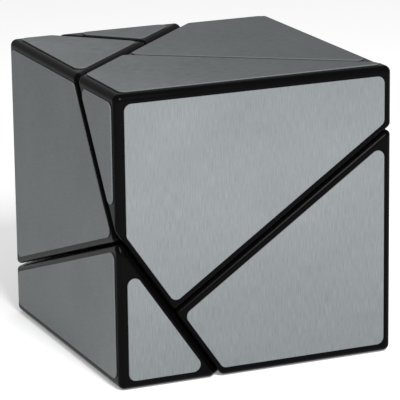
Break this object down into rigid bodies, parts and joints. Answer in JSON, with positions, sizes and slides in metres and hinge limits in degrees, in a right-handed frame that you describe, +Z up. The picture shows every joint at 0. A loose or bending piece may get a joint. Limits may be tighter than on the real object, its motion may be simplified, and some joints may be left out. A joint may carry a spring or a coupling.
{
  "type": "twisty puzzle cube",
  "caption": "Handheld shape-shifting twisty puzzle cube, black with brushed silver faces, shown square; its two halves turn against each other on a tilted axis.",
  "frame": {"origin": "middle of the bottom face, on the surface that the cube stands on", "axes": "+Z up, the front face towards -Y, the right side towards +X"},
  "size_m": [0.0604, 0.0604, 0.0605],
  "materials": {
    "black_plastic": "glossy moulded black",
    "inner_plastic": "plain moulded black",
    "brushed_silver": "brushed film, fine straight grain",
    "steel_hardware": "zinc-plated"
  },
  "bodies": {
    "left_half": {"axis_screws": "steel_hardware", "axis_springs": "steel_hardware", "axis_washers": "steel_hardware", "cap_back": "inner_plastic", "cap_front": "inner_plastic", "cap_left": "inner_plastic", "cap_lower": "inner_plastic", "cap_upper": "inner_plastic", "core": "inner_plastic", "hidden_edge_left_back": "inner_plastic", "hidden_edge_left_front": "inner_plastic", "hidden_edge_left_lower": "inner_plastic", "hidden_edge_left_upper": "inner_plastic", "hidden_edge_lower_back": "inner_plastic", "hidden_edge_lower_front": "inner_plastic", "hidden_edge_upper_back": "inner_plastic", "hidden_edge_upper_front": "inner_plastic", "left_lower_back_foot": "inner_plastic", "left_lower_back_shell": "black_plastic", "left_lower_back_sticker_back_side": "brushed_silver", "left_lower_back_sticker_bottom": "brushed_silver", "left_lower_back_sticker_right_side": "brushed_silver", "left_lower_front_foot": "inner_plastic", "left_lower_front_shell": "black_plastic", "left_lower_front_sticker_back_side": "brushed_silver", "left_lower_front_sticker_bottom": "brushed_silver", "left_lower_front_sticker_front_side": "brushed_silver", "left_lower_front_sticker_left_side": "brushed_silver", "left_upper_back_foot": "inner_plastic", "left_upper_back_shell": "black_plastic", "left_upper_back_sticker_back_side": "brushed_silver", "left_upper_back_sticker_top": "brushed_silver", "left_upper_front_foot": "inner_plastic", "left_upper_front_shell": "black_plastic", "left_upper_front_sticker_back_side": "brushed_silver", "left_upper_front_sticker_left_side": "brushed_silver", "left_upper_front_sticker_top": "brushed_silver"},
    "right_half": {"cap_right": "inner_plastic", "hidden_edge_right_back": "inner_plastic", "hidden_edge_right_front": "inner_plastic", "hidden_edge_right_lower": "inner_plastic", "hidden_edge_right_upper": "inner_plastic", "right_lower_back_foot": "inner_plastic", "right_lower_back_shell": "black_plastic", "right_lower_back_sticker_right_side": "brushed_silver", "right_lower_front_foot": "inner_plastic", "right_lower_front_shell": "black_plastic", "right_lower_front_sticker_bottom": "brushed_silver", "right_lower_front_sticker_front_side": "brushed_silver", "right_lower_front_sticker_right_side": "brushed_silver", "right_upper_back_foot": "inner_plastic", "right_upper_back_shell": "black_plastic", "right_upper_back_sticker_back_side": "brushed_silver", "right_upper_back_sticker_right_side": "brushed_silver", "right_upper_back_sticker_top": "brushed_silver", "right_upper_front_foot": "inner_plastic", "right_upper_front_shell": "black_plastic", "right_upper_front_sticker_front_side": "brushed_silver", "right_upper_front_sticker_left_side": "brushed_silver", "right_upper_front_sticker_top": "brushed_silver"}
  },
  "joints": [
    {"name": "half_turn", "type": "hinge", "parent": "left_half", "child": "right_half", "pos_m": [0.00467, 0.00467, 0.03055], "axis": [0.6366, -0.6366, 0.4352], "continuous": true}
  ]
}
